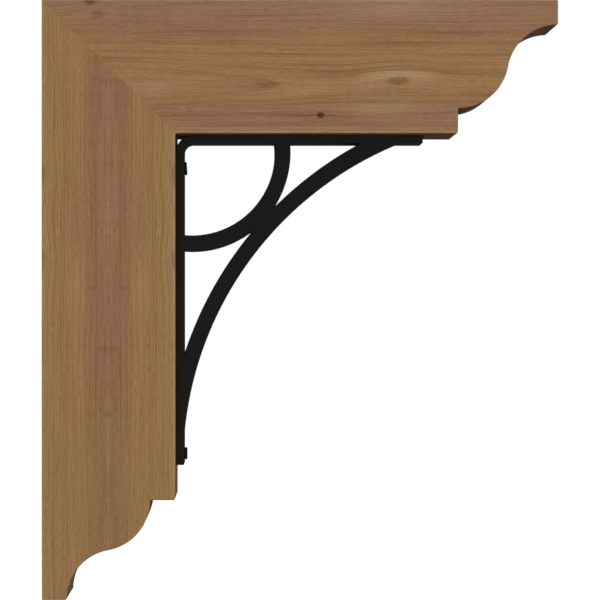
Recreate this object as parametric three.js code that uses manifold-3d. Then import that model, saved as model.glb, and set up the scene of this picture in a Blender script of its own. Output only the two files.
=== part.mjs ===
import * as THREE from 'three';
import { mergeVertices } from 'three/addons/utils/BufferGeometryUtils.js';
import Module from 'manifold-3d';

// A timber corbel bracket. Two timbers with ogee ends are mitred into an angle. An iron strap bent
// to an L lies in the inside of that angle, a long arc braces its legs, and a short arc fills its
// corner. Two hex-head screws hold the strap's long leg to the upright timber.
// Millimetres. X points out from the wall, Z points up, and the origin is the middle of the wall
// face, so the plane Y = 0 halves the bracket's thickness.

// The timbers
const HEIGHT = 711;
const PROJECTION = 611.5;
const TIMBER_THICKNESS = 139.7;
const TIMBER_DEPTH = 158;
const END_FILLET = 29.6;
const OGEE_RUN = 118.4;
const OGEE_RISE = TIMBER_DEPTH - 2 * END_FILLET;

// The ironwork, measured from the inner corner of the two timbers
const BAR_WIDTH = 63.5;
const STRAP_THICKNESS = 9.5;
const STRAP_BEND_RADIUS = 19.8;
const STRAP_END_SETBACK = 39.5;
const ARC_THICKNESS = 19;
const LONG_ARC_RADIUS = 430.7;
const LONG_ARC_CENTRE = new THREE.Vector2(428.8, -397.9);
const CORNER_ARC_RADIUS = 108.6;
const CORNER_ARC_CENTRE = new THREE.Vector2(19.3, -21.1);

// The screws
const SCREW_HEAD_FLATS = 14.3;
const SCREW_HEAD_HEIGHT = 3.2;
const SCREW_HEAD_CHAMFER_ANGLE = THREE.MathUtils.degToRad(30);
const SCREW_SHANK_RADIUS = 4.75;
const SCREW_SHANK_LENGTH = 70;
const SCREW_POINT_LENGTH = 9;
const UPPER_SCREW_DROP = 38.8;
const LOWER_SCREW_END_DISTANCE = 12.6;

// The clear gap kept between neighbouring pieces, and the fineness of round stretches
const GAP = 0.3;
const OGEE_STEPS = 24;
const BEND_STEPS = 12;
const LONG_ARC_STEPS = 72;
const CORNER_ARC_STEPS = 48;
const SHANK_STEPS = 24;

const timberMaterial = new THREE.MeshStandardMaterial({
  name: 'timber',
  color: 0x8d6b4a,
  roughness: 0.75,
  metalness: 0,
});
const ironMaterial = new THREE.MeshStandardMaterial({
  name: 'black_iron',
  color: 0x1b1b1b,
  roughness: 0.55,
  metalness: 0.2,
});

const wasm = await Module();
wasm.setup();

// A closed geometry as a solid that can be joined and cut.
function toSolid(geometry) {
  const bare = geometry.clone();
  bare.deleteAttribute('normal');
  bare.deleteAttribute('uv');
  const merged = mergeVertices(bare);
  return new wasm.Manifold(new wasm.Mesh({
    numProp: 3,
    vertProperties: Float32Array.from(merged.attributes.position.array),
    triVerts: Uint32Array.from(merged.index.array),
  }));
}

function toGeometry(solid) {
  const { vertProperties, triVerts } = solid.getMesh();
  const geometry = new THREE.BufferGeometry();
  geometry.setAttribute('position', new THREE.BufferAttribute(vertProperties, 3));
  geometry.setIndex(new THREE.BufferAttribute(triVerts, 1));
  geometry.computeVertexNormals();
  return geometry;
}

// Points along a circular arc, from one angle to another.
function arcPoints(centre, radius, fromAngle, toAngle, steps) {
  return Array.from({ length: steps + 1 }, (_, step) => {
    const angle = THREE.MathUtils.lerp(fromAngle, toAngle, step / steps);
    return new THREE.Vector2(
      centre.x + radius * Math.cos(angle),
      centre.y + radius * Math.sin(angle),
    );
  });
}

// A slab whose outline lies in the XZ plane, with its thickness halved by the plane Y = 0.
function slab(outline, thickness) {
  const geometry = new THREE.ExtrudeGeometry(new THREE.Shape(outline), {
    depth: thickness,
    bevelEnabled: false,
  });
  geometry.rotateX(Math.PI / 2);
  geometry.translate(0, thickness / 2, 0);
  return geometry;
}

// A timber's outline: x runs along it from the outer corner of the mitre, y runs across it from its
// outer face. The end is a fillet, a cove, an ovolo of the same radius and a second fillet. The two
// arcs sweep the same angle, leave their fillets along the timber and meet with one tangent.
function timberOutline(length) {
  const sweep = 2 * Math.atan2(OGEE_RISE, OGEE_RUN);
  const radius = OGEE_RUN / (2 * Math.sin(sweep));
  const coveCentre = new THREE.Vector2(length, END_FILLET + radius);
  const ovoloCentre = new THREE.Vector2(length - OGEE_RUN, END_FILLET + OGEE_RISE - radius);
  const quarter = Math.PI / 2;
  const cove = arcPoints(coveCentre, radius, -quarter, -quarter - sweep, OGEE_STEPS);
  const ovolo = arcPoints(ovoloCentre, radius, quarter - sweep, quarter, OGEE_STEPS);
  const mitreSetback = GAP / Math.SQRT2;
  return [
    new THREE.Vector2(mitreSetback, 0),
    new THREE.Vector2(length, 0),
    ...cove,
    ...ovolo.slice(1),
    new THREE.Vector2(length - OGEE_RUN, TIMBER_DEPTH),
    new THREE.Vector2(TIMBER_DEPTH + mitreSetback, TIMBER_DEPTH),
  ];
}

// The timber that runs out from the wall, below its outer top edge.
function horizontalArm() {
  const outline = timberOutline(PROJECTION).map(({ x, y }) => new THREE.Vector2(x, -y));
  return slab(outline, TIMBER_THICKNESS);
}

// The timber that stands against the wall, with a blind pilot hole for each screw.
function verticalArm(screwHeights) {
  const outline = timberOutline(HEIGHT).map(({ x, y }) => new THREE.Vector2(y, -x));
  let solid = toSolid(slab(outline, TIMBER_THICKNESS));
  for (const height of screwHeights) {
    solid = solid.subtract(screwHole(TIMBER_DEPTH, height - TIMBER_DEPTH));
  }
  return toGeometry(solid);
}

// A screw's hole, open at the mouth plane x = mouth and deep enough for the shank and its point.
function screwHole(mouth, height) {
  const length = 2 * SCREW_SHANK_LENGTH;
  const hole = new THREE.CylinderGeometry(
    SCREW_SHANK_RADIUS + GAP,
    SCREW_SHANK_RADIUS + GAP,
    length,
    SHANK_STEPS,
  );
  hole.rotateZ(-Math.PI / 2);
  hole.translate(mouth, 0, height);
  return toSolid(hole);
}

// The flat bar bent to an L: one leg down the upright timber, one out under the other timber.
function ironStrap(legDown, legOut, screwHeights) {
  const centre = new THREE.Vector2(GAP + STRAP_BEND_RADIUS, -GAP - STRAP_BEND_RADIUS);
  const innerRadius = STRAP_BEND_RADIUS - STRAP_THICKNESS;
  const outline = [
    new THREE.Vector2(GAP, -legDown),
    ...arcPoints(centre, STRAP_BEND_RADIUS, Math.PI, Math.PI / 2, BEND_STEPS),
    new THREE.Vector2(legOut, -GAP),
    new THREE.Vector2(legOut, -GAP - STRAP_THICKNESS),
    ...arcPoints(centre, innerRadius, Math.PI / 2, Math.PI, BEND_STEPS),
    new THREE.Vector2(GAP + STRAP_THICKNESS, -legDown),
  ];
  let solid = toSolid(slab(outline, BAR_WIDTH));
  for (const height of screwHeights) {
    solid = solid.subtract(screwHole(0, height));
  }
  return toGeometry(solid);
}

// A bar bent to a full ring of its own thickness, before its ends are cut to the strap.
function arcBar(centre, radius, spare, steps) {
  const outer = arcPoints(centre, radius + ARC_THICKNESS / 2 + spare, 0, 2 * Math.PI, steps);
  const inner = arcPoints(centre, radius - ARC_THICKNESS / 2 - spare, 0, 2 * Math.PI, steps);
  const disc = toSolid(slab(outer.slice(1), BAR_WIDTH + 2 * spare));
  return disc.subtract(toSolid(slab(inner.slice(1), BAR_WIDTH + 4 * spare + GAP)));
}

// The space between the strap's legs, a gap clear of both of them.
function insideStrap(legDown, legOut) {
  const near = STRAP_THICKNESS + 2 * GAP;
  const box = new THREE.BoxGeometry(legOut - near, 2 * BAR_WIDTH, legDown - near);
  box.translate((legOut + near) / 2, 0, -(legDown + near) / 2);
  return toSolid(box);
}

// The long brace between the two legs.
function longArc(legDown, legOut) {
  const ring = arcBar(LONG_ARC_CENTRE, LONG_ARC_RADIUS, 0, 6 * LONG_ARC_STEPS);
  return toGeometry(ring.intersect(insideStrap(legDown, legOut)));
}

// The short arc in the corner, dished a little where it lies against the long one.
function cornerArc(legDown, legOut) {
  const ring = arcBar(CORNER_ARC_CENTRE, CORNER_ARC_RADIUS, 0, 4 * CORNER_ARC_STEPS);
  const clearance = arcBar(LONG_ARC_CENTRE, LONG_ARC_RADIUS, GAP, 6 * LONG_ARC_STEPS);
  return toGeometry(ring.intersect(insideStrap(legDown, legOut)).subtract(clearance));
}

// A hex-head screw on the X axis, its head's underside at x = 0 and its point towards -X.
function screw() {
  const cornerRadius = SCREW_HEAD_FLATS / Math.sqrt(3);
  const hexagon = new THREE.CylinderGeometry(cornerRadius, cornerRadius, SCREW_HEAD_HEIGHT, 6);
  const faceRadius = 0.96 * SCREW_HEAD_FLATS / 2;
  const chamfer = new THREE.CylinderGeometry(
    faceRadius,
    faceRadius + SCREW_HEAD_HEIGHT / Math.tan(SCREW_HEAD_CHAMFER_ANGLE),
    SCREW_HEAD_HEIGHT,
    2 * SHANK_STEPS,
  );
  const shank = new THREE.CylinderGeometry(
    SCREW_SHANK_RADIUS,
    SCREW_SHANK_RADIUS,
    SCREW_SHANK_LENGTH - SCREW_POINT_LENGTH,
    SHANK_STEPS,
  );
  const point = new THREE.CylinderGeometry(
    SCREW_SHANK_RADIUS,
    SCREW_SHANK_RADIUS / 8,
    SCREW_POINT_LENGTH,
    SHANK_STEPS,
  );
  shank.translate(0, -(SCREW_HEAD_HEIGHT + SCREW_SHANK_LENGTH - SCREW_POINT_LENGTH) / 2, 0);
  point.translate(0, -(SCREW_HEAD_HEIGHT - SCREW_POINT_LENGTH) / 2 - SCREW_SHANK_LENGTH, 0);
  const solid = toSolid(hexagon)
    .intersect(toSolid(chamfer))
    .add(toSolid(shank))
    .add(toSolid(point));
  const geometry = toGeometry(solid);
  geometry.rotateZ(-Math.PI / 2);
  geometry.translate(SCREW_HEAD_HEIGHT / 2, 0, 0);
  return geometry;
}

function namedMesh(name, geometry, material) {
  const mesh = new THREE.Mesh(geometry, material);
  mesh.name = name;
  return mesh;
}

const legDown = HEIGHT - TIMBER_DEPTH - OGEE_RUN - STRAP_END_SETBACK;
const legOut = PROJECTION - TIMBER_DEPTH - OGEE_RUN - STRAP_END_SETBACK;
const screwHeights = [-UPPER_SCREW_DROP, LOWER_SCREW_END_DISTANCE - legDown];

// The timbers hang from the outer corner of their mitre.
const timbers = new THREE.Group();
timbers.position.set(0, 0, HEIGHT / 2);
timbers.add(namedMesh('horizontal_arm', horizontalArm(), timberMaterial));
timbers.add(namedMesh('vertical_arm', verticalArm(screwHeights), timberMaterial));

// The ironwork sits in the inner corner.
const ironwork = new THREE.Group();
ironwork.position.set(TIMBER_DEPTH, 0, HEIGHT / 2 - TIMBER_DEPTH);
ironwork.add(namedMesh('iron_strap', ironStrap(legDown, legOut, screwHeights), ironMaterial));
ironwork.add(namedMesh('long_arc', longArc(legDown, legOut), ironMaterial));
ironwork.add(namedMesh('corner_arc', cornerArc(legDown, legOut), ironMaterial));

// The upper screw has a corner of its head upwards, the lower one a flat.
const screwTurns = [0, Math.PI / 6];
const screwNames = ['upper_screw', 'lower_screw'];
screwNames.forEach((name, index) => {
  const mesh = namedMesh(name, screw(), ironMaterial);
  mesh.position.set(STRAP_THICKNESS + 2 * GAP, 0, screwHeights[index]);
  mesh.rotation.x = screwTurns[index];
  ironwork.add(mesh);
});

const corbelBracket = new THREE.Group();
corbelBracket.add(timbers, ironwork);

export default corbelBracket;
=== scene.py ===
import collections
import functools
import math

import bpy
import numpy as np
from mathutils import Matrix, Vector
from mathutils.geometry import delaunay_2d_cdt


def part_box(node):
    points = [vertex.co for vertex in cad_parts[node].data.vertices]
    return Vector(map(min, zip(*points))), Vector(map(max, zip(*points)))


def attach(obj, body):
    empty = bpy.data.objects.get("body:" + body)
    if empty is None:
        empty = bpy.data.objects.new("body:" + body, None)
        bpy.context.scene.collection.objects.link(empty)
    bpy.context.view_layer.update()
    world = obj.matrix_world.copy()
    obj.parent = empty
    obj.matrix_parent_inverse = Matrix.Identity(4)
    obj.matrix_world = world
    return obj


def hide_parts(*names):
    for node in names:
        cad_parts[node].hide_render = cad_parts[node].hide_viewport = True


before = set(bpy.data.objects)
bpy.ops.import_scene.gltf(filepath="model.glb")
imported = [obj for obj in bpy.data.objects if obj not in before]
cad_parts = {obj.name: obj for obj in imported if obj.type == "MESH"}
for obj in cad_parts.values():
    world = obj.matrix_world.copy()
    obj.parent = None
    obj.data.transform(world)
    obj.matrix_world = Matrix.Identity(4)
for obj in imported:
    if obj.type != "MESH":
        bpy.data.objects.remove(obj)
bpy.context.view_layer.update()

# A timber corbel bracket: two timbers with ogee ends, mitred into an angle, and a black iron brace
# in the inside of it. X points out from the wall, Z up, and Y runs through the thickness.
# Sizes are metres, most of them read from the frame or given in millimetres times MM.

MM = 0.001

# Places read from the frame. The timbers and the ironwork are centred on y = 0.
_, ARM_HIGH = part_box("horizontal_arm")
UPRIGHT_LOW, UPRIGHT_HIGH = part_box("vertical_arm")
STRAP_LOW, STRAP_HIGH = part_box("iron_strap")
TOP = ARM_HIGH.z
PROJECTION = ARM_HIGH.x
HEIGHT = TOP - UPRIGHT_LOW.z
TIMBER_HALF = ARM_HIGH.y
TIMBER_DEPTH = UPRIGHT_HIGH.x
INNER_CORNER = np.array([TIMBER_DEPTH, TOP - TIMBER_DEPTH])
BAR_HALF = STRAP_HIGH.y

# The timbers' ends, and how their edges are eased. Each timber stands MITRE_SETBACK clear of the mitre's
# plane, and its arrises have their full round from MITRE_FADE on, both measured along the timber.
END_FILLET = 29.6 * MM
OGEE_RUN = 118.4 * MM
OGEE_RISE = TIMBER_DEPTH - 2 * END_FILLET
MITRE_SETBACK = 0.02 * MM
MITRE_ROUND = 0.04 * MM
MITRE_FADE = 8 * MM
ARRIS_ROUND = 1.2 * MM
ARRIS_UNEVENNESS = 0.3
ARRIS_WAVES = (7, 19, 43)
TIMBER_STEP = 8 * MM
OGEE_STEPS = 22

# The ironwork, measured from the inner corner of the two timbers. GAP is how far the solids stand
# clear of each other, WELD_REACH how far each arc runs into the bars that it meets, and WELD_SHYNESS how
# much narrower than those it is on each side, so that no two faces share a plane.
STRAP_THICKNESS = 9.5 * MM
STRAP_BEND_RADIUS = 19.8 * MM
STRAP_STEP = 8 * MM
ARC_THICKNESS = 19 * MM
LONG_ARC_RADIUS = 430.7 * MM
LONG_ARC_CENTRE = np.array([428.8, -397.9]) * MM
CORNER_ARC_RADIUS = 108.6 * MM
CORNER_ARC_CENTRE = np.array([19.3, -21.1]) * MM
GAP = 0.3 * MM
IRON_ROUND = 0.6 * MM
WELD_REACH = 2 * IRON_ROUND
WELD_SHYNESS = 0.08 * MM
LEG_FACE = GAP + STRAP_THICKNESS
BEND_STEPS = 20
ARC_STEPS = 96

# The screws. HEAD_RINGS are the rings on a head's face, and HEAD_SIDE the ones on its sides, both as
# shares of the hexagon's radius.
HEAD_APOTHEM = 7.15 * MM
HEAD_HEIGHT = 3.2 * MM
HEAD_FACE = 0.96
HEAD_CHAMFER = math.radians(30)
HEAD_CORNER_POWER = 40
HEAD_EDGE = 0.12 * MM
HEAD_RINGS = (0.02, 0.4, 0.75, 0.83, 0.86, 0.89, 0.92, 0.95, 0.975, 0.99)
HEAD_SIDE = (1, 1, 0.985)
UPPER_HEAD_LEAN = math.radians(3.5)
LOWER_HEAD_TURN = math.radians(30)
SHANK_RADIUS = 4.7 * MM
SHANK_ROOT = 3.5 * MM
SHANK_LENGTH = 70 * MM
SHANK_POINT = 9 * MM
SHANK_TIP = 0.03
THREAD_START = 22 * MM
THREAD_PITCH = 4.2 * MM
THREAD_STEPS = 160
PLAIN_STEPS = 8
SCREW_SIDES = 72

# How corners and edges are rounded, and how flat faces are filled with triangles. A corner's radius is
# CORNER_TO_EASING times the easing, and SUPPORT is how far past a round its supporting points lie, as a
# share of its radius.
ROUND_STEPS = 5
CORNER_TO_EASING = 1.5
SUPPORT = 0.3
SHARP_TURN = math.radians(25)
FILL_STEP = 14 * MM
FILL_INSIDE = 1
FILL_TOLERANCE = 1e-8

# The photograph's frame on the timbers' front face, and where its camera stands
FRAME_WIDTH = 710.2 * MM
FRAME_MIDDLE = 305.9 * MM
CAMERA_SIDEWAYS = 240.7 * MM
CAMERA_DISTANCE = 3449 * MM
SENSOR_WIDTH = 36

# The cedar's colours: pinkish, russet, tan and mossy heartwood, pale wood, which also paints the
# highlight along the inner arrises, and the darker wood of the rings and the knots
ROSE_TAN = "#926F54"
DUSKY_PINK = "#8E6C51"
ROSE_BROWN = "#8D694E"
UMBER_BROWN = "#8A674A"
WARM_TAN = "#936F4C"
LIGHT_TAN = "#95724E"
OLIVE_TAN = "#94744D"
GREYISH_TAN = "#947555"
LATEWOOD = "#6F4E2C"
UMBER_KNOT = "#66452C"
KNOT_BROWN = "#4E2F1E"
PALE_WOOD_AND_HIGHLIGHT = "#A98B6C"
RUSSET = "#95634A"
MOSSY_TAN = "#8B7048"

# The growth rings, in millimetres. The profiles say how much latewood shows at each share of a ring's
# width: it darkens slowly and ends at once. A noise shifts the rings by up to RING_SHIFT, so that they
# are not evenly wide. Each ring's strength is a random share to the power of RING_VARIETY, so that most
# are faint, and along the grain it falls to RING_FADED of that where a noise is below -RING_FADING. A
# strong ring is STRONG_RING wide, and its profile covers STRONG_RING_SPAN.
RING_SPACING = 4.3
RING_SHIFT = 8.6
RING_SHIFT_WIDTH = 13
RING_PROFILE = [(0.0, 0.0), (0.45, 0.1), (0.75, 0.55), (0.94, 1.0), (0.98, 0.0)]
RING_VARIETY = 1.6
RING_WEAKEST = 0.15
RING_FADED = 0.3
RING_FADING = 0.4
RING_CONTRAST = 0.64
STRONG_RING = 1.8
STRONG_RING_SPAN = 1.98
STRONG_PROFILE = [(0.0, 0.0), (0.9, 0.9), (0.98, 0.0)]
FLAME_REACH = 75

# The grain's other sizes in millimetres, and how strongly it shows. The patterns are given by the
# length and width of their spots. Cedar's fibres are about 0.04 mm wide and its flecks and streaks a few
# tenths, which is too fine to show, so all three are drawn about as wide as one or two pixels.
# END_GRAIN_FACING gives the cosines between the surface's normal and the grain at which the end grain's
# darkening starts and is full. That darkening is partly the end grain's own colour and partly painted
# shade on the ogee ends.
DRIFT = 2
DRIFT_SIZE = (220, 60)
BEND_DEPTH = 45
KNOT_DEPTH = 45
TONE_WANDER = 6
TONE_SIZE = (190, 24)
HUE_STREAKS = 0.5
HUE_SIZE = (110, 4.5)
FADING_SIZE = (130, 12)
FIBRE_SIZE = (75, 1.3)
FIBRE_CONTRAST = 0.145
FIBRE_DIP = 0.6
STREAK_SIZE = (150, 2.6)
STREAK_CONTRAST = 0.095
FLECK_SIZE = (9, 1.2)
FLECK_CONTRAST = 0.19
# The end grain's darkening: partly its own colour, partly painted shade on the ogee ends.
END_GRAIN_AND_SHADE_DARKENING = 0.22
END_GRAIN_FACING = (0.35, 0.95)
# The painted highlight along the timbers' inner arrises: how far it reaches in millimetres, and how pale
# it is at the arris.
ARRIS_HIGHLIGHT_REACH = 4
ARRIS_HIGHLIGHT_PALENESS = 0.42
RIB_STRENGTH = 0.25
RIB_HEIGHT = 0.15 * MM
CEDAR_ROUGHNESS = (0.66, 0.8)
CEDAR_SPECULAR = 0.05

# The pith has a place across the grain. It lies near behind the face at the timber's start, and far
# behind it, on the line of the flames, at the length until. Strong are the distances of the strong rings
# from it. A bend moves the lines of the grain aside by its shift, and a mark has its full share of its
# colour out to its core, both over an ellipsoid with a place, a length and a width.
Pith = collections.namedtuple("Pith", "across near far until strong")
Bend = collections.namedtuple("Bend", "along across length width shift")
Mark = collections.namedtuple("Mark", "along across length width colour share core")

# The powder coat
POWDER_BLACK = "#191919"
COAT_ROUGHNESS = (0.5, 0.66)
COAT_SPECULAR = 0.25
PEEL_SIZE = 1.5 * MM
PEEL_STRENGTH = 0.3
PEEL_HEIGHT = 0.08 * MM
PATCH_SIZE = 40 * MM

# The floor and the light. AMBIENT is the strength of the even light from all round.
FLOOR_DROP = 0.45
FLOOR_HALF = 15
FLOOR_WHITE = "#F4F4F2"
FLOOR_ROUGHNESS = 0.9
FLOOR_GLOW = 0.45
WHITE = "#FFFFFF"
AMBIENT = 0.1
OVERHEAD_STRENGTH = 2.0
OVERHEAD_SPREAD = math.radians(50)
SoftBox = collections.namedtuple("SoftBox", "name place size power shows_in_gloss")
SOFT_BOXES = [
    SoftBox("front_box", (0.3, -4.2, -0.15), 1.6, 154, False),
    SoftBox("right_box", (3.4, -0.6, 0.7), 1.8, 34, True),
    SoftBox("back_box", (-2.6, 3.0, 1.4), 2.0, 170, True),
]


# Meshes

def mesh_piece(name, vertices, faces, material):
    """A piece from its vertices and faces, smooth shaded, which stands for the CAD node of its name."""
    mesh = bpy.data.meshes.new(name)
    mesh.from_pydata(vertices.tolist(), [], faces)
    mesh.polygons.foreach_set("use_smooth", np.ones(len(mesh.polygons), bool))
    mesh.materials.append(material)
    mesh.update()
    piece = bpy.data.objects.new(name + "_finished", mesh)
    bpy.context.scene.collection.objects.link(piece)
    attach(piece, "root")
    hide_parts(name)


def wall_faces(rings, points):
    """The quads between neighbouring closed rings."""
    number = np.arange(rings * points).reshape(rings, points)
    after = np.roll(number, -1, axis=1)
    quads = np.stack([number[:-1], number[1:], after[1:], after[:-1]], axis=-1)
    return quads.reshape(-1, 4).tolist()


def tube_faces(rings, points):
    """The faces of a tube of closed rings, and of the two flat ends that close it."""
    ends = np.arange(rings * points).reshape(rings, points)[[0, -1]]
    return wall_faces(rings, points) + [ends[0].tolist(), ends[1][::-1].tolist()]


def arc(centre, radius, start, end, steps):
    """Points on a circle: the centre plus the radius times the cosine and sine of even angles."""
    angle = np.linspace(start, end, steps + 1)
    return centre + radius * np.stack([np.cos(angle), np.sin(angle)], axis=1)


def straight(start, end, step):
    """Points from start up to but not at end, evenly spaced at about one step."""
    start = np.asarray(start, float)
    count = max(1, round(float(np.hypot(*(end - start))) / step))
    return start + np.arange(count)[:, None] / count * (end - start)


def edge_directions(outline):
    """The unit directions of the edges before and after each point of a closed outline."""
    before = outline - np.roll(outline, 1, axis=0)
    before /= np.linalg.norm(before, axis=1, keepdims=True)
    return before, np.roll(before, -1, axis=0)


def leftward(direction):
    """Directions turned a quarter to the left."""
    return np.stack([-direction[..., 1], direction[..., 0]], axis=-1)


def turns(outline):
    """The angle through which a closed outline turns at each point, positive to the left."""
    before, after = edge_directions(outline)
    return np.arctan2(np.sum(leftward(before) * after, axis=1), np.sum(before * after, axis=1))


def soften(outline, easing):
    """Rounds the sharp corners of a closed outline, by enough for its faces to draw in by the easing.
    Each arc touches both edges at its radius times the tangent of half the turn, and swings about a
    centre at the radius from them. A supporting point on each side keeps the straight stretches flat.
    A point that isn't sharp has no radius, and only the first point of its arc is kept."""
    before, after = edge_directions(outline)
    turn = turns(outline)
    sharp = np.abs(turn) > SHARP_TURN
    radius = np.where(sharp, CORNER_TO_EASING * easing, 0)[:, None]
    reach = radius * np.tan(np.abs(turn) / 2)[:, None]
    touch = outline - reach * before
    centre = touch + radius * np.sign(turn)[:, None] * leftward(before)
    spoke = (touch - centre)[:, None]
    swing = (turn[:, None] * np.linspace(0, 1, ROUND_STEPS + 1))[..., None]
    rounded = centre[:, None] + np.cos(swing) * spoke + np.sin(swing) * leftward(spoke)
    entry = (touch - SUPPORT * radius * before)[:, None]
    leaving = (outline + (reach + SUPPORT * radius) * after)[:, None]
    points = np.concatenate([entry, rounded, leaving], axis=1)
    keep = np.repeat(sharp[:, None], points.shape[1], axis=1)
    keep[:, 1] = True
    return points[keep]


def anticlockwise(outline, *more):
    """A closed outline, and any values that go with its points, in the order that turns to the left."""
    step = 1 if turns(outline).sum() > 0 else -1
    return [values[::step] for values in (outline, *more)]


def inside(points, rim):
    """True for points inside a closed outline: a line to the right crosses it an odd number of times."""
    after = np.roll(rim, -1, axis=0)
    x, y = points[:, None, 0], points[:, None, 1]
    spans = (rim[:, 1] > y) != (after[:, 1] > y)
    rise = np.where(after[:, 1] == rim[:, 1], 1, after[:, 1] - rim[:, 1])
    crossing = rim[:, 0] + (y - rim[:, 1]) / rise * (after[:, 0] - rim[:, 0])
    return (spans & (x < crossing)).sum(axis=1) % 2 == 1


def filling(rim):
    """Inner points on a square lattice, kept clear of the rim, and the triangles that fill the rim."""
    low, high = rim.min(axis=0), rim.max(axis=0)
    columns, rows = (np.arange(low[i], high[i], FILL_STEP) for i in (0, 1))
    lattice = np.stack(np.meshgrid(columns, rows), axis=-1).reshape(-1, 2)
    clear = np.linalg.norm(lattice[:, None] - rim, axis=-1).min(axis=1) > FILL_STEP / 2
    inner = lattice[clear & inside(lattice, rim)]
    points = np.concatenate([rim, inner])
    border = np.stack([np.arange(len(rim)), np.roll(np.arange(len(rim)), -1)], axis=1).tolist()
    places = [Vector(point) for point in points.tolist()]
    filled = delaunay_2d_cdt(places, border, [], FILL_INSIDE, FILL_TOLERANCE)
    faces, origins = filled[2:4]
    source = np.array([origin[0] for origin in origins])
    return inner, source[np.array(faces)]


def plate(name, outline, easing, half, material):
    """A board or bar in the XZ plane. Its anticlockwise outline is carried through its thickness, and at
    each face it draws in along its mitre lines by a quarter round: at angle t the inset is the easing
    times 1 - sin t, and the depth the easing times 1 - cos t."""
    before, after = edge_directions(outline)
    inward = leftward(before + after)
    mitre = 2 * inward / np.sum(inward * inward, axis=1, keepdims=True)
    t = np.linspace(0, math.pi / 2, ROUND_STEPS + 1)[:, None]
    flat = 0 * easing[None]
    support = easing[None] * (1 + SUPPORT)
    inset = np.concatenate([support, easing * (1 - np.sin(t)), flat])
    depth = np.concatenate([flat, easing * (1 - np.cos(t)), support])
    place = outline + inset[..., None] * mitre
    front = np.stack([place[..., 0], depth - half, place[..., 1]], axis=-1)
    rings = np.concatenate([front, front[::-1] * [1, -1, 1]])
    inner, triangles = filling(place[0])
    inner = np.stack([inner[:, 0], np.full(len(inner), -half), inner[:, 1]], axis=1)
    count = len(outline)
    walls = rings.shape[0] * count
    back_shift = np.where(triangles < count, walls - count, walls + len(inner) - count)
    front_faces = np.where(triangles < count, triangles, triangles + walls - count)
    vertices = np.concatenate([rings.reshape(-1, 3), inner, inner * [1, -1, 1]])
    faces = wall_faces(*rings.shape[:2]) + front_faces.tolist()
    faces += (triangles + back_shift)[:, ::-1].tolist()
    mesh_piece(name, vertices, faces, material)


# The timbers

def timber_outline(length):
    """A timber's outline in (along, across): along runs from the outer corner of the mitre, across from
    the outer face. The end is a fillet, a cove, an ovolo of the same radius and a second fillet: both
    arcs sweep twice the slope of the ogee, and their radius is its run over twice the sweep's sine."""
    sweep = 2 * math.atan2(OGEE_RISE, OGEE_RUN)
    radius = OGEE_RUN / (2 * math.sin(sweep))
    quarter = math.pi / 2
    cove_centre = np.array([length, END_FILLET + radius])
    ovolo_centre = np.array([length - OGEE_RUN, END_FILLET + OGEE_RISE - radius])
    tip = np.array([length, 0])
    step = np.array([length - OGEE_RUN, TIMBER_DEPTH])
    outer = np.array([MITRE_SETBACK, 0])
    inner = outer + TIMBER_DEPTH
    cove = arc(cove_centre, radius, -quarter, -quarter - sweep, OGEE_STEPS)
    ovolo = arc(ovolo_centre, radius, quarter - sweep, quarter, OGEE_STEPS)
    return np.concatenate([
        straight(outer, tip, TIMBER_STEP),
        straight(tip, cove[0], TIMBER_STEP),
        cove,
        ovolo[1:],
        straight(step, inner, TIMBER_STEP),
        straight(inner, outer, TIMBER_STEP),
    ])


def from_mitre(outline):
    """0 on the mitre face, rising smoothly to 1 where the arrises have their full round."""
    share = (outline[:, 0] - outline[:, 1] - MITRE_SETBACK) / MITRE_FADE
    share = np.clip(share, 0, 1)
    return share * share * (3 - 2 * share)


def arris_easing(outline):
    """How much each point's arris is rounded: next to nothing at the mitre, and elsewhere the usual
    round made a little uneven by the mean of three sine waves along the outline."""
    step = np.linalg.norm(outline - np.roll(outline, 1, axis=0), axis=1)
    lap = 2 * math.pi * np.cumsum(step) / step.sum()
    waves = np.mean([np.sin(count * lap + phase) for phase, count in enumerate(ARRIS_WAVES)], axis=0)
    full = ARRIS_ROUND * (1 + ARRIS_UNEVENNESS * waves)
    return MITRE_ROUND + (full - MITRE_ROUND) * from_mitre(outline)


def timber(name, length, place, material):
    """A timber, with place turning (along, across) into (x, z)."""
    outline = timber_outline(length)
    outline = soften(outline, arris_easing(outline))
    world, easing = anticlockwise(place(outline), arris_easing(outline))
    plate(name, world, easing, TIMBER_HALF, material)


def out_from_wall(outline):
    """(along, across) to (x, z) for the horizontal timber."""
    return np.stack([outline[:, 0], TOP - outline[:, 1]], axis=1)


def down_the_wall(outline):
    """(along, across) to (x, z) for the upright timber."""
    return np.stack([outline[:, 1], TOP - outline[:, 0]], axis=1)


# The ironwork

def strap(material):
    """The flat bar bent to an L, as straight legs and two arcs about one centre."""
    down = STRAP_LOW.z - INNER_CORNER[1]
    out = STRAP_HIGH.x - INNER_CORNER[0]
    centre = np.array([1, -1]) * (GAP + STRAP_BEND_RADIUS)
    half_turn, quarter = math.pi, math.pi / 2
    outer_bend = arc(centre, STRAP_BEND_RADIUS, half_turn, quarter, BEND_STEPS)
    inner_bend = arc(centre, STRAP_BEND_RADIUS - STRAP_THICKNESS, quarter, half_turn, BEND_STEPS)
    far_end = np.array([[out, -GAP], [out, -LEG_FACE]])
    low_end = np.array([[LEG_FACE, down], [GAP, down]])
    outline = np.concatenate([
        straight(low_end[1], outer_bend[0], STRAP_STEP),
        outer_bend[:-1],
        straight(outer_bend[-1], far_end[0], STRAP_STEP),
        far_end[:1],
        straight(far_end[1], inner_bend[0], STRAP_STEP),
        inner_bend[:-1],
        straight(inner_bend[-1], low_end[0], STRAP_STEP),
        low_end[:1],
    ])
    outline, = anticlockwise(soften(outline, IRON_ROUND) + INNER_CORNER)
    easing = np.full(len(outline), IRON_ROUND)
    plate("iron_strap", outline, easing, BAR_HALF, material)


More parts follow.
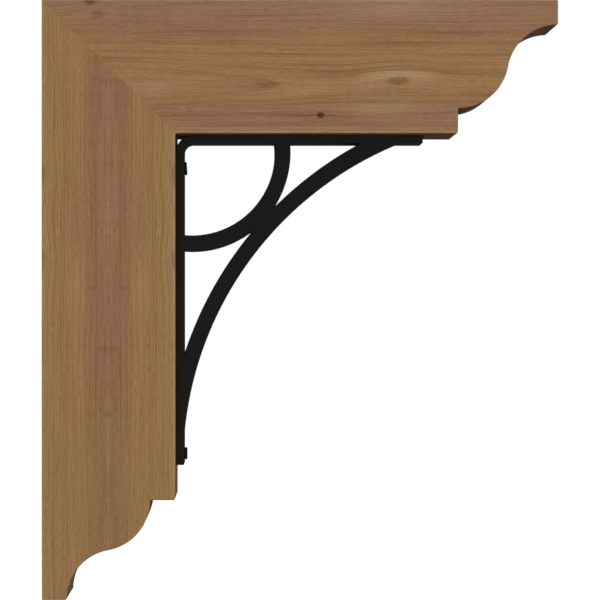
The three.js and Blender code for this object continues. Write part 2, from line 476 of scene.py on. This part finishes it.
def arc_bar(name, centre, mean_radius, shyness, span, room, material):
    """A bar bent to an arc between the strap's legs. Every point of its round-edged section runs along
    its own circle over the span of angles that its radius gives, so that the bar ends flat on both
    legs. Room is the greatest radius at an angle, and the section is squeezed across to keep to it."""
    half = ARC_THICKNESS / 2
    width = BAR_HALF - shyness
    section = soften(
        np.array([[-half, -width], [half, -width], [half, width], [-half, width]]), IRON_ROUND
    )
    radius = mean_radius + section[:, 0]
    start, end = span(radius)
    angle = start + np.linspace(0, 1, ARC_STEPS + 1)[:, None] * (end - start)
    inner = mean_radius - half
    squeeze = np.minimum(1, (room(angle) - inner) / ARC_THICKNESS)
    reach = inner + (radius - inner) * squeeze
    x = INNER_CORNER[0] + centre[0] + reach * np.cos(angle)
    z = INNER_CORNER[1] + centre[1] + reach * np.sin(angle)
    rings = np.stack([x, np.broadcast_to(section[:, 1], x.shape), z], axis=-1)
    faces = tube_faces(*x.shape)
    mesh_piece(name, rings.reshape(-1, 3), faces, material)


def long_arc(material):
    """The long brace, from the face of the upright leg to that of the level one."""
    face = LEG_FACE - WELD_REACH
    across = LONG_ARC_CENTRE[0] - face
    up = -face - LONG_ARC_CENTRE[1]

    def span(radius):
        return math.pi - np.arccos(across / radius), math.pi - np.arcsin(up / radius)

    def room(angle):
        return np.inf

    arc_bar("long_arc", LONG_ARC_CENTRE, LONG_ARC_RADIUS, WELD_SHYNESS, span, room, material)


def corner_arc(material):
    """The short brace in the corner. Its outer face keeps to the long brace's: at angle a from the line
    between the centres, at d cos a less the root of R squared less the square of d sin a."""
    face = LEG_FACE - WELD_REACH
    across = face - CORNER_ARC_CENTRE[0]
    up = -face - CORNER_ARC_CENTRE[1]
    apart = LONG_ARC_CENTRE - CORNER_ARC_CENTRE
    distance = float(np.hypot(*apart))
    direction = math.atan2(apart[1], apart[0])
    limit = LONG_ARC_RADIUS + ARC_THICKNESS / 2 - WELD_REACH

    def span(radius):
        return np.arcsin(up / radius), -np.arccos(across / radius)

    def room(angle):
        aside = distance * np.sin(angle - direction)
        near = distance * np.cos(angle - direction) - np.sqrt(np.maximum(limit ** 2 - aside ** 2, 0))
        return np.where(np.abs(aside) < limit, near, np.inf)

    arc_bar("corner_arc", CORNER_ARC_CENTRE, CORNER_ARC_RADIUS, 2 * WELD_SHYNESS, span, room, material)


def screw(name, turn, lean, material):
    """A hex-head screw as rings about its axis, from its face to its point. The hexagon's radius at an
    angle is the apothem over the root of the summed high powers of the cosines to its three pairs of
    flats, which rounds its corners a little. Outside HEAD_FACE of the apothem the face falls at the
    chamfer's angle. The thread is a cosine wave cubed, which moves round by a turn in each pitch."""
    low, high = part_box(name)
    angle = np.linspace(0, 2 * math.pi, SCREW_SIDES, endpoint=False)
    flats = np.abs(np.cos(angle[:, None] - np.arange(3) * math.pi / 3)) ** HEAD_CORNER_POWER
    hexagon = HEAD_APOTHEM / flats.sum(axis=1) ** (1 / HEAD_CORNER_POWER)
    head = np.array(HEAD_RINGS)[:, None] * hexagon
    fall = np.maximum(head - HEAD_FACE * HEAD_APOTHEM, 0) * math.tan(HEAD_CHAMFER)
    rise = HEAD_HEIGHT - fall
    side = np.array(HEAD_SIDE)[:, None] * hexagon
    side_rise = np.stack([rise[-1] - HEAD_EDGE, 0 * angle + HEAD_EDGE, 0 * angle])
    plain = np.linspace(0, THREAD_START, PLAIN_STEPS)
    threaded = np.linspace(THREAD_START, SHANK_LENGTH, THREAD_STEPS)[1:]
    down = np.concatenate([plain, threaded])[:, None]
    wave = 0.5 + 0.5 * np.cos(2 * math.pi * down / THREAD_PITCH - angle)
    crest = np.where(down > THREAD_START, wave ** 3, 1)
    point = np.clip((SHANK_LENGTH - down) / SHANK_POINT, SHANK_TIP, 1)
    shank = (SHANK_ROOT + (SHANK_RADIUS - SHANK_ROOT) * crest) * point
    radius = np.concatenate([head, side, shank])
    height = np.concatenate([rise, side_rise, np.broadcast_to(-down, shank.shape)])
    local = np.stack([height, radius * np.cos(angle + turn), radius * np.sin(angle + turn)], axis=-1)
    tilt = np.array([
        [math.cos(lean), 0, -math.sin(lean)],
        [0, 1, 0],
        [math.sin(lean), 0, math.cos(lean)],
    ])
    sunk = HEAD_APOTHEM * math.sin(lean)
    seat = np.array([high.x - HEAD_HEIGHT - sunk, 0, (low.z + high.z) / 2])
    rings = local @ tilt.T + seat
    faces = tube_faces(*rings.shape[:2])
    mesh_piece(name, rings.reshape(-1, 3), faces, material)


# Materials

def linear(code):
    """An sRGB hex colour as linear red, green, blue and alpha."""
    shares = [int(code[i:i + 2], 16) / 255 for i in (1, 3, 5)]
    return [s / 12.92 if s <= 0.04045 else ((s + 0.055) / 1.055) ** 2.4 for s in shares] + [1.0]


def add(tree, kind, inputs=None, output=0, stops=None, **settings):
    """Adds one node and returns one of its outputs. Settings are its own properties, inputs give its
    sockets a value or an output to link, and stops are a colour ramp's positions, each with its colour
    or grey level."""
    node = tree.nodes.new(kind)
    for name, value in settings.items():
        setattr(node, name, value)
    for socket, value in (inputs or {}).items():
        if isinstance(value, bpy.types.NodeSocket):
            tree.links.new(value, node.inputs[socket])
        else:
            node.inputs[socket].default_value = value
    if stops:
        points = node.color_ramp.elements
        while len(points) < len(stops):
            points.new(1.0)
        for point, (position, colour) in zip(points, stops):
            point.position = position
            point.color = linear(colour) if isinstance(colour, str) else [colour] * 3 + [1.0]
    return node.outputs[output]


def blank_material(name):
    """A node material, with a function that adds nodes to it, and its shader."""
    material = bpy.data.materials.new(name)
    material.use_nodes = True
    tree = material.node_tree
    return material, functools.partial(add, tree), tree.nodes["Principled BSDF"]


def stretched_noise(put, grain, size, detail):
    """A noise between about -1 and 1, with spots of that length along the grain and width across it."""
    length, width = size
    squeeze = (1 / length, 1 / width, 1 / width)
    place = put("ShaderNodeVectorMath", {0: grain, 1: squeeze}, operation="MULTIPLY")
    inputs = {"Vector": place, "Scale": 1.0, "Detail": detail}
    return put("ShaderNodeTexNoise", inputs, normalize=False)


def from_centre(put, grain, spot, depth):
    """How far a point is from a spot's centre, 1 at its rim: an ellipsoid that ends in the timber."""
    centre = (spot.along, spot.across, 0.0)
    squeeze = (1 / spot.length, 1 / spot.width, 1 / depth)
    offset = put("ShaderNodeVectorMath", {0: grain, 1: centre}, operation="SUBTRACT")
    scaled = put("ShaderNodeVectorMath", {0: offset, 1: squeeze}, operation="MULTIPLY")
    return put("ShaderNodeVectorMath", {0: scaled}, "Value", operation="LENGTH")


def bent_grain(put, grain, bends):
    """The grain's frame with its lines pushed across: by a slow drift, and aside at each knot."""
    shift = stretched_noise(put, grain, DRIFT_SIZE, detail=1.0)
    shift = put("ShaderNodeMath", {0: shift, 1: DRIFT}, operation="MULTIPLY")
    for bend in bends:
        distance = from_centre(put, grain, bend, BEND_DEPTH)
        inputs = {"Value": distance, "To Min": bend.shift, "To Max": 0.0}
        aside = put("ShaderNodeMapRange", inputs, interpolation_type="SMOOTHERSTEP")
        shift = put("ShaderNodeMath", {0: shift, 1: aside}, operation="ADD")
    across = put("ShaderNodeCombineXYZ", {"Y": shift})
    return put("ShaderNodeVectorMath", {0: grain, 1: across}, operation="ADD")


def ring_distance(put, bent, pith):
    """Distance from the pith, whose level lines are the growth rings. The pith lies deeper further
    along, so the rings close to flames on the face. Away from the flames they run straight."""
    along, level, behind = (put("ShaderNodeSeparateXYZ", {0: bent}, axis) for axis in "XYZ")
    across = put("ShaderNodeMath", {0: level, 1: pith.across}, operation="SUBTRACT")
    aside = put("ShaderNodeMath", {0: across}, operation="ABSOLUTE")
    inputs = {"Value": aside, "From Max": FLAME_REACH, "To Min": pith.far, "To Max": pith.near}
    far = put("ShaderNodeMapRange", inputs, interpolation_type="SMOOTHSTEP")
    inputs = {"Value": along, "From Max": pith.until, "To Min": pith.near, "To Max": far}
    depth = put("ShaderNodeMapRange", inputs)
    inward = put("ShaderNodeMath", {0: behind, 1: depth}, operation="SUBTRACT")
    radial = put("ShaderNodeCombineXYZ", {"X": across, "Y": inward})
    return put("ShaderNodeVectorMath", {0: radial}, "Value", operation="LENGTH")


def growth_rings(put, bent, distance, strong):
    """How much latewood shows, 0 to 1. The rings' widths and strengths change from ring to ring, and
    every ring fades and returns along the grain. The strong rings are given by their distances."""
    shift = put("ShaderNodeMath", {0: distance, 1: 1 / RING_SHIFT_WIDTH}, operation="MULTIPLY")
    shift = put("ShaderNodeTexNoise", {"W": shift, "Scale": 1.0, "Detail": 0.0}, noise_dimensions="1D")
    inputs = {0: shift, 1: RING_SHIFT, 2: distance}
    shifted = put("ShaderNodeMath", inputs, operation="MULTIPLY_ADD")
    count = put("ShaderNodeMath", {0: shifted, 1: RING_SPACING}, operation="DIVIDE")
    share = put("ShaderNodeMath", {0: count}, operation="FRACT")
    late = put("ShaderNodeValToRGB", {"Fac": share}, stops=RING_PROFILE)
    number = put("ShaderNodeMath", {0: count}, operation="FLOOR")
    strength = put("ShaderNodeTexWhiteNoise", {"W": number}, noise_dimensions="1D")
    strength = put("ShaderNodeMath", {0: strength, 1: RING_VARIETY}, operation="POWER")
    inputs = {0: strength, 1: 1 - RING_WEAKEST, 2: RING_WEAKEST}
    strength = put("ShaderNodeMath", inputs, operation="MULTIPLY_ADD")
    late = put("ShaderNodeMath", {0: late, 1: strength}, operation="MULTIPLY")
    for radius in strong:
        beyond = put("ShaderNodeMath", {0: distance, 1: radius - STRONG_RING}, operation="SUBTRACT")
        beyond = put("ShaderNodeMath", {0: beyond, 1: STRONG_RING_SPAN}, operation="DIVIDE")
        dark = put("ShaderNodeValToRGB", {"Fac": beyond}, stops=STRONG_PROFILE)
        late = put("ShaderNodeMath", {0: late, 1: dark}, operation="MAXIMUM")
    wear = stretched_noise(put, bent, FADING_SIZE, detail=1.0)
    inputs = {"Value": wear, "From Min": -RING_FADING, "From Max": RING_FADING, "To Min": RING_FADED}
    fading = put("ShaderNodeMapRange", inputs)
    return put("ShaderNodeMath", {0: late, 1: fading}, operation="MULTIPLY")


def end_grain_and_shade(put, axis):
    """1 where the surface cuts across the grain, 0 where it runs along it."""
    normal = put("ShaderNodeNewGeometry", output="Normal")
    facing = put("ShaderNodeVectorMath", {0: normal, 1: axis}, "Value", operation="DOT_PRODUCT")
    facing = put("ShaderNodeMath", {0: facing}, operation="ABSOLUTE")
    least, full = END_GRAIN_FACING
    return put("ShaderNodeMapRange", {"Value": facing, "From Min": least, "From Max": full})


def painted_arris_highlight(put, grain, width):
    """A painted highlight along the two long arrises on the timber's inner side: how much pale colour is
    painted there, by the distance across the grain to the nearer one. Matched wood has it on both sides."""
    depth = TIMBER_HALF / MM
    centred = put("ShaderNodeVectorMath", {0: grain, 1: (0.0, 0.0, depth)}, operation="SUBTRACT")
    mirrored = put("ShaderNodeVectorMath", {0: centred}, operation="ABSOLUTE")
    outward = put("ShaderNodeVectorMath", {0: mirrored, 1: (0.0, width, depth)}, operation="SUBTRACT")
    section = put("ShaderNodeVectorMath", {0: outward, 1: (0.0, 1.0, 1.0)}, operation="MULTIPLY")
    distance = put("ShaderNodeVectorMath", {0: section}, "Value", operation="LENGTH")
    inputs = {"Value": distance, "From Max": ARRIS_HIGHLIGHT_REACH, "To Min": ARRIS_HIGHLIGHT_PALENESS, "To Max": 0.0}
    return put("ShaderNodeMapRange", inputs, interpolation_type="SMOOTHSTEP")


def blend(put, share, first, second):
    """One colour over another by a share."""
    inputs = {0: share, 6: first, 7: second}
    return put("ShaderNodeMix", inputs, 2, data_type="RGBA")


def mark(put, bent, colour, spot):
    """A knot, stain or streak: a soft-edged ellipsoid of its own colour laid over the wood."""
    distance = from_centre(put, bent, spot, KNOT_DEPTH)
    inputs = {"Value": distance, "From Min": spot.core, "To Min": spot.share, "To Max": 0.0}
    share = put("ShaderNodeMapRange", inputs, interpolation_type="SMOOTHSTEP")
    return blend(put, share, colour, linear(spot.colour))


def heartwood(put, bent, width, tones):
    """The wood's own colour: bands whose edges wander, each band's place a share of the width, and
    pinkish streaks over them."""
    across = put("ShaderNodeSeparateXYZ", {0: bent}, "Y")
    wander = stretched_noise(put, bent, TONE_SIZE, detail=2.0)
    band = put("ShaderNodeMath", {0: wander, 1: TONE_WANDER, 2: across}, operation="MULTIPLY_ADD")
    band = put("ShaderNodeMath", {0: band, 1: 1 / width}, operation="MULTIPLY")
    colour = put("ShaderNodeValToRGB", {"Fac": band}, stops=tones)
    hue = stretched_noise(put, bent, HUE_SIZE, detail=2.0)
    pink_share = put("ShaderNodeMapRange", {"Value": hue, "To Max": HUE_STREAKS})
    return blend(put, pink_share, colour, linear(ROSE_BROWN))


def fine_grain(put, bent, fibres, axis):
    """How light the wood is, about 1: uneven with its fibres, streaks and flecks, and darker on the end
    grain, partly as painted shade on the ogee ends."""
    parts = [
        (fibres, FIBRE_CONTRAST),
        (stretched_noise(put, bent, STREAK_SIZE, detail=3.0), STREAK_CONTRAST),
        (stretched_noise(put, bent, FLECK_SIZE, detail=2.0), FLECK_CONTRAST),
        # end grain darkened, partly as painted shade on the ogee ends
        (end_grain_and_shade(put, axis), -END_GRAIN_AND_SHADE_DARKENING),
    ]
    light = 1.0
    for part, contrast in parts:
        light = put("ShaderNodeMath", {0: part, 1: contrast, 2: light}, operation="MULTIPLY_ADD")
    return light


def planed_cedar(name, frame_inputs, matched, width, axis, tones, pith, bends, marks):
    """Red cedar heartwood, planed: bands of pinkish and tan brown, dark lines where the rings are cut,
    fine fibres along the grain, a painted highlight along the inner arrises, and end grain darkened,
    partly as painted shade on the ogee ends. Matched wood is the same on both sides of its middle. The
    planed surface is dull, with the rings and fibres as faint ribs, so its sheen is broad and weak."""
    material, put, shader = blank_material(name)
    place = put("ShaderNodeTexCoord", output="Object")
    grain = put("ShaderNodeMapping", {"Vector": place, **frame_inputs})
    if matched:
        grain = put("ShaderNodeVectorMath", {0: grain}, operation="ABSOLUTE")
    bent = bent_grain(put, grain, bends)
    colour = heartwood(put, bent, width, tones)
    distance = ring_distance(put, bent, pith)
    rings = growth_rings(put, bent, distance, pith.strong)
    ring_share = put("ShaderNodeMath", {0: rings, 1: RING_CONTRAST}, operation="MULTIPLY")
    colour = blend(put, ring_share, colour, linear(LATEWOOD))
    for spot in marks:
        colour = mark(put, bent, colour, spot)
    # Painted highlight: pale wood colour laid along the inner arrises, standing in for the light they
    # catch.
    colour = blend(put, painted_arris_highlight(put, grain, width), colour, linear(PALE_WOOD_AND_HIGHLIGHT))
    fibres = stretched_noise(put, bent, FIBRE_SIZE, detail=3.0)
    light = fine_grain(put, bent, fibres, axis)
    colour = put("ShaderNodeVectorMath", {0: colour, "Scale": light}, operation="SCALE")
    ribs = put("ShaderNodeMath", {0: fibres, 1: -FIBRE_DIP, 2: rings}, operation="MULTIPLY_ADD")
    bump = put("ShaderNodeBump", {"Height": ribs, "Strength": RIB_STRENGTH, "Distance": RIB_HEIGHT})
    least, most = CEDAR_ROUGHNESS
    inputs = {"Value": fibres, "From Min": -1.0, "To Min": least, "To Max": most}
    rough = put("ShaderNodeMapRange", inputs)
    tree = material.node_tree
    tree.links.new(colour, shader.inputs["Base Color"])
    tree.links.new(rough, shader.inputs["Roughness"])
    tree.links.new(bump, shader.inputs["Normal"])
    shader.inputs["Specular IOR Level"].default_value = CEDAR_SPECULAR
    return material


def horizontal_cedar():
    """The level timber: tan in the middle between pinker edges, with a flame that points outwards, a
    round pin knot in a dark streak, a flat knot in pale wood, and two small knots near the mitre. Its
    grain runs out from the wall, across is down from the top and depth back from the front face."""
    frame_inputs = {
        "Location": (0.0, TOP / MM, TIMBER_HALF / MM),
        "Rotation": (math.pi / 2, 0.0, 0.0),
        "Scale": (1 / MM, 1 / MM, 1 / MM),
    }
    tones = [
        (0.15, DUSKY_PINK), (0.24, ROSE_BROWN), (0.31, WARM_TAN), (0.37, LIGHT_TAN), (0.65, LIGHT_TAN),
        (0.74, WARM_TAN), (0.8, DUSKY_PINK), (0.88, ROSE_BROWN), (0.97, ROSE_TAN), (1.0, LIGHT_TAN),
    ]
    strong = (44.9, 48.1, 50.2, 55.7, 62, 73, 84, 90.3, 101)
    pith = Pith(across=99.5, near=38.2, far=46.5, until=345, strong=strong)
    bends = [
        Bend(425, 86, 85, 34, 7.0),
        Bend(331, 137, 26, 12, 1.0),
        Bend(60, 6, 45, 30, 4.0),
    ]
    marks = [
        Mark(320, 109, 260, 10, PALE_WOOD_AND_HIGHLIGHT, 0.17, 0.1),
        Mark(424, 96, 75, 11, PALE_WOOD_AND_HIGHLIGHT, 0.7, 0.1),
        Mark(422, 102, 19, 4.6, UMBER_KNOT, 0.55, 0.4),
        Mark(422, 101.6, 11, 2.4, WARM_TAN, 0.5, 0.0),
        Mark(423, 105.4, 14, 1.8, KNOT_BROWN, 0.35, 0.0),
        Mark(420, 90.3, 150, 2.2, UMBER_KNOT, 0.4, 0.0),
        Mark(263, 99.8, 16, 3.4, UMBER_KNOT, 0.35, 0.2),
        Mark(325, 138, 95, 2.2, UMBER_KNOT, 0.85, 0.0),
        Mark(330.2, 137.9, 6.2, 5.0, KNOT_BROWN, 0.95, 0.45),
        Mark(57, 6, 11, 5.5, UMBER_KNOT, 0.9, 0.15),
        Mark(67, 19, 11, 6, UMBER_KNOT, 0.55, 0.1),
        Mark(416, 51, 65, 2.6, UMBER_KNOT, 0.5, 0.0),
        Mark(420, 8, 120, 24, PALE_WOOD_AND_HIGHLIGHT, 0.3, 0.0),
        Mark(405, 130, 85, 12, PALE_WOOD_AND_HIGHLIGHT, 0.35, 0.0),
        Mark(130, 103, 55, 11, PALE_WOOD_AND_HIGHLIGHT, 0.25, 0.0),
        Mark(149, 27, 6, 14, UMBER_KNOT, 0.15, 0.0),
        Mark(226, 50, 7, 20, UMBER_KNOT, 0.15, 0.0),
        Mark(383, 46, 42, 10, RUSSET, 0.35, 0.0),
        Mark(450, 54, 36, 3, RUSSET, 0.4, 0.0),
    ]
    return planed_cedar(
        "planed_cedar_level", frame_inputs, matched=False, width=TIMBER_DEPTH / MM,
        axis=(1.0, 0.0, 0.0), tones=tones, pith=pith, bends=bends, marks=marks,
    )


def upright_cedar():
    """The upright timber, matched about its middle: a pinkish band with a pale thread between straight
    tan sides, whose lines bend round small knots at the edges, and a few small marks in the band. Its
    grain runs down the wall, across is out from the middle and depth back from the front face."""
    middle = TIMBER_DEPTH / 2 / MM
    frame_inputs = {
        "Location": (TOP / MM, -middle, TIMBER_HALF / MM),
        "Rotation": (-math.pi / 2, 0.0, math.pi / 2),
        "Scale": (1 / MM, -1 / MM, 1 / MM),
    }
    tones = [
        (0.16, ROSE_BROWN), (0.19, UMBER_BROWN), (0.27, UMBER_BROWN), (0.34, WARM_TAN),
        (0.43, LIGHT_TAN), (0.6, LIGHT_TAN), (0.68, OLIVE_TAN), (0.9, OLIVE_TAN), (1.0, GREYISH_TAN),
    ]
    pith = Pith(across=0, near=35, far=35, until=700, strong=(38.2, 60.9, 66.8, 73.5))
    bends = [Bend(207, 84, 55, 56, 4.5), Bend(307, 84, 55, 56, 4.5)]
    marks = [
        Mark(207, 83.5, 20, 7, UMBER_KNOT, 0.65, 0.3),
        Mark(307, 83.5, 20, 7, UMBER_KNOT, 0.65, 0.3),
        Mark(600, 0, 190, 200, MOSSY_TAN, 0.4, 0.3),
        Mark(560, 0, 260, 16, UMBER_KNOT, 0.12, 0.5),
        Mark(262, 33, 60, 22, ROSE_BROWN, 0.8, 0.2),
        Mark(97, 0, 7, 16, UMBER_KNOT, 0.18, 0.3),
        Mark(169, 20, 8, 8, UMBER_KNOT, 0.2, 0.2),
        Mark(342, 20, 4, 9, UMBER_KNOT, 0.22, 0.4),
        Mark(413, 0, 5, 16, UMBER_KNOT, 0.25, 0.6),
        Mark(455, 0, 4, 6, UMBER_KNOT, 0.25, 0.0),
        Mark(484, 9, 5, 6, UMBER_KNOT, 0.35, 0.0),
        Mark(491, 0, 5, 6, UMBER_KNOT, 0.35, 0.0),
        Mark(400, 0, 500, 1.6, PALE_WOOD_AND_HIGHLIGHT, 0.25, 0.0),
    ]
    return planed_cedar(
        "planed_cedar_upright", frame_inputs, matched=True, width=middle,
        axis=(0.0, 0.0, 1.0), tones=tones, pith=pith, bends=bends, marks=marks,
    )


def black_powder_coat():
    """Flat steel bar with a black powder coat: nearly black, with a low broad sheen and the faint orange
    peel that baking leaves. The peel is drawn 1.5 mm wide, where the real one is finer, so that it
    shows. The sheen is a little uneven in patches."""
    material, put, shader = blank_material("black_powder_coated_steel")
    place = put("ShaderNodeTexCoord", output="Object")
    peel = put("ShaderNodeTexNoise", {"Vector": place, "Scale": 1 / PEEL_SIZE, "Detail": 2.0})
    bump = put("ShaderNodeBump", {"Height": peel, "Strength": PEEL_STRENGTH, "Distance": PEEL_HEIGHT})
    patches = put("ShaderNodeTexNoise", {"Vector": place, "Scale": 1 / PATCH_SIZE, "Detail": 2.0})
    least, most = COAT_ROUGHNESS
    rough = put("ShaderNodeMapRange", {"Value": patches, "To Min": least, "To Max": most})
    shader.inputs["Base Color"].default_value = linear(POWDER_BLACK)
    shader.inputs["Specular IOR Level"].default_value = COAT_SPECULAR
    tree = material.node_tree
    tree.links.new(rough, shader.inputs["Roughness"])
    tree.links.new(bump, shader.inputs["Normal"])
    return material


# The floor, the light and the camera

def soft_light(box):
    """A square soft box, turned to face the bracket's middle."""
    data = bpy.data.lights.new(box.name, "AREA")
    data.shape = "SQUARE"
    data.size = box.size
    data.energy = box.power
    light = bpy.data.objects.new(box.name, data)
    light.location = box.place
    aim = Vector((PROJECTION / 2, 0, 0)) - Vector(box.place)
    light.rotation_euler = aim.to_track_quat("-Z", "Y").to_euler()
    light.visible_camera = False
    light.visible_glossy = box.shows_in_gloss
    bpy.context.scene.collection.objects.link(light)


def floor():
    """A wide pale floor below the bracket: a square, from minus to plus FLOOR_HALF each way."""
    material, _, shader = blank_material("matt_white_studio_floor")
    shader.inputs["Base Color"].default_value = linear(FLOOR_WHITE)
    shader.inputs["Roughness"].default_value = FLOOR_ROUGHNESS
    shader.inputs["Emission Color"].default_value = linear(WHITE)
    shader.inputs["Emission Strength"].default_value = FLOOR_GLOW
    level = UPRIGHT_LOW.z - FLOOR_DROP
    corners = FLOOR_HALF * np.array([(-1, -1, 0), (1, -1, 0), (1, 1, 0), (-1, 1, 0)]) + [0, 0, level]
    mesh = bpy.data.meshes.new("studio_floor")
    mesh.from_pydata(corners.tolist(), [], [(0, 1, 2, 3)])
    mesh.materials.append(material)
    ground = bpy.data.objects.new("studio_floor", mesh)
    ground.visible_diffuse = False
    ground.visible_glossy = False
    bpy.context.scene.collection.objects.link(ground)


def sky():
    """White behind the bracket, and an even dim grey light from all round it."""
    world = bpy.data.worlds.new("studio")
    world.use_nodes = True
    bpy.context.scene.world = world
    tree = world.node_tree
    background = tree.nodes["Background"]
    background.inputs["Color"].default_value = linear(WHITE)
    seen = add(tree, "ShaderNodeLightPath", output="Is Camera Ray")
    strength = add(tree, "ShaderNodeMapRange", {"Value": seen, "To Min": AMBIENT, "To Max": 1.0})
    tree.links.new(strength, background.inputs["Strength"])


def camera():
    """The photograph's view: square to the bracket's side, from a point beside the frame's middle."""
    data = bpy.data.cameras.new("photo_view")
    data.sensor_width = SENSOR_WIDTH
    data.lens = SENSOR_WIDTH * CAMERA_DISTANCE / FRAME_WIDTH
    data.shift_x = (FRAME_MIDDLE - CAMERA_SIDEWAYS) / FRAME_WIDTH
    view = bpy.data.objects.new("photo_view", data)
    view.location = (CAMERA_SIDEWAYS, -TIMBER_HALF - CAMERA_DISTANCE, 0)
    view.rotation_euler = (math.pi / 2, 0, 0)
    bpy.context.scene.collection.objects.link(view)
    bpy.context.scene.camera = view


def light():
    """A soft front light for the photograph's view, boxes for the free end and the back, and a broad
    light from straight above."""
    for box in SOFT_BOXES:
        soft_light(box)
    data = bpy.data.lights.new("overhead", "SUN")
    data.angle = OVERHEAD_SPREAD
    data.energy = OVERHEAD_STRENGTH
    overhead = bpy.data.objects.new("overhead", data)
    overhead.visible_glossy = False
    bpy.context.scene.collection.objects.link(overhead)


# The bracket

def bracket():
    """The two timbers and the brace, one piece for each CAD node."""
    iron = black_powder_coat()
    timber("horizontal_arm", PROJECTION, out_from_wall, horizontal_cedar())
    timber("vertical_arm", HEIGHT, down_the_wall, upright_cedar())
    strap(iron)
    long_arc(iron)
    corner_arc(iron)
    screw("upper_screw", 0, UPPER_HEAD_LEAN, iron)
    screw("lower_screw", LOWER_HEAD_TURN, 0, iron)


bracket()
floor()
sky()
camera()
light()
bpy.context.scene.view_settings.view_transform = "Standard"
